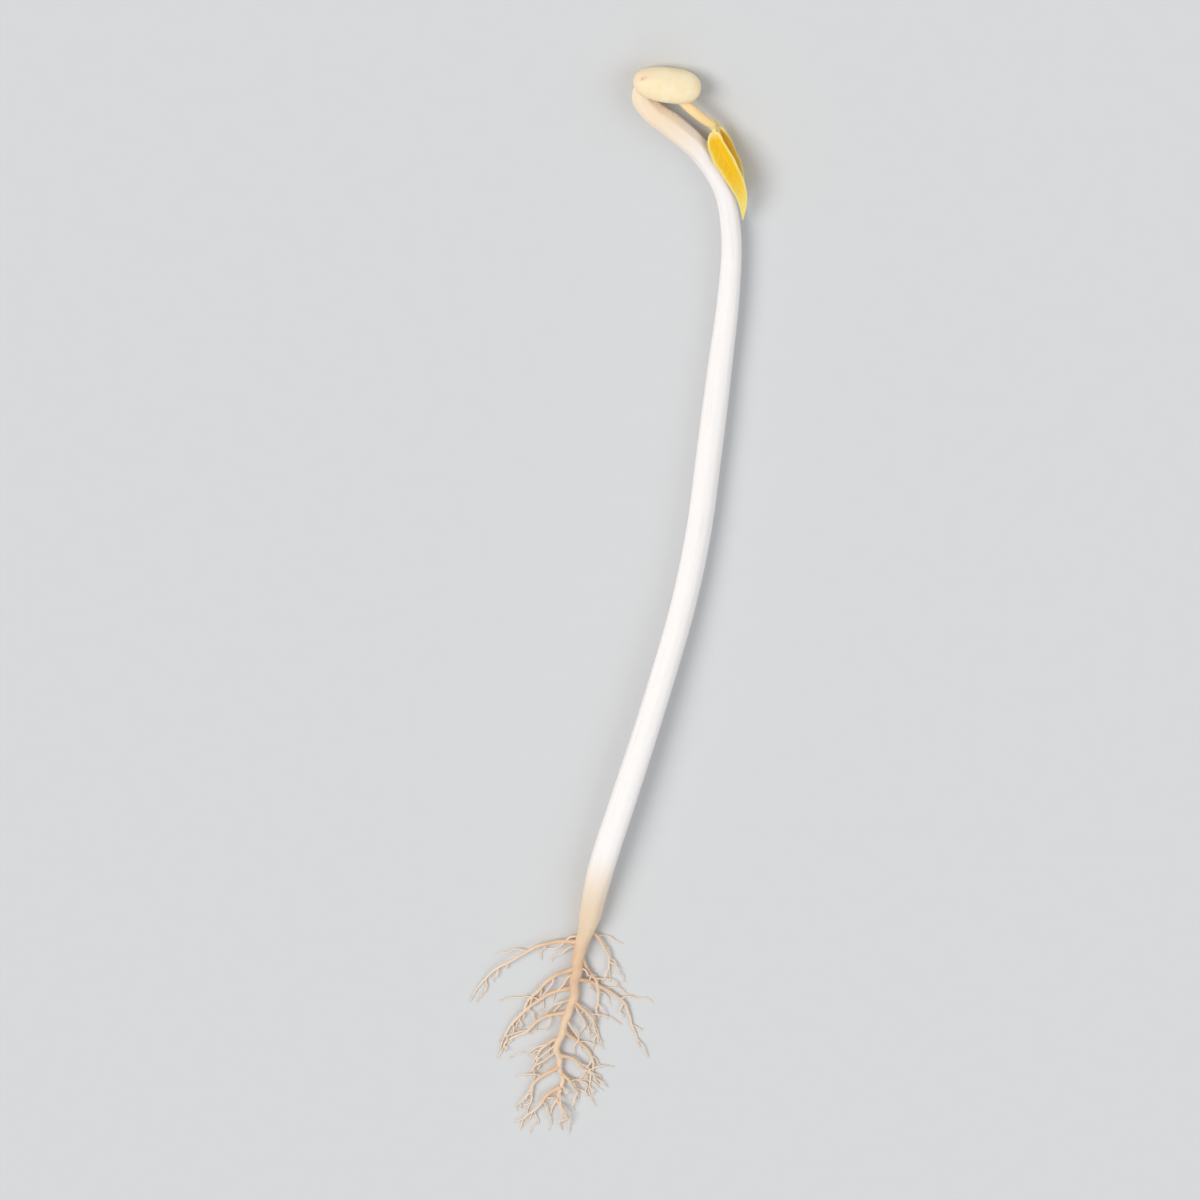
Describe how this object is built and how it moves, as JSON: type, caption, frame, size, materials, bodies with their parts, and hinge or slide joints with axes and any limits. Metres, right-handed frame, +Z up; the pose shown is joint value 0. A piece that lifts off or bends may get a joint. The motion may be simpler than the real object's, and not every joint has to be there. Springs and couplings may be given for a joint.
{
  "type": "mung bean sprout",
  "caption": "Long pale bean sprout lying on its side: a slender curved stem with a hooked head, folded seed leaves, a small yellow leaf pair and a taproot with fine side roots.",
  "frame": {"origin": "the flat strip under the middle of the stem, on the surface that the sprout lies on", "axes": "+Z up; the stem lies along Y with the head towards +Y and the root towards -Y; the leaves hang on the +X side of the head"},
  "size_m": [0.0358, 0.1642, 0.0046],
  "materials": {
    "stem": "crisp wet stem, satin, white and slightly translucent, creamier at the hook",
    "root": "fine fibrous root, matt, tan",
    "seed_leaf": "fleshy seed leaf, satin, cream yellow with faint wrinkles",
    "young_stem": "thin pale stem, satin, cream",
    "leaf": "thin unopened leaf, satin, bright yellow with paler veins"
  },
  "bodies": {
    "root": {"hypocotyl": "stem", "taproot": "root", "cotyledon_upper": "seed_leaf", "cotyledon_lower": "seed_leaf", "epicotyl": "young_stem", "leaf_upper": "leaf", "leaf_lower": "leaf"}
  },
  "joints": []
}
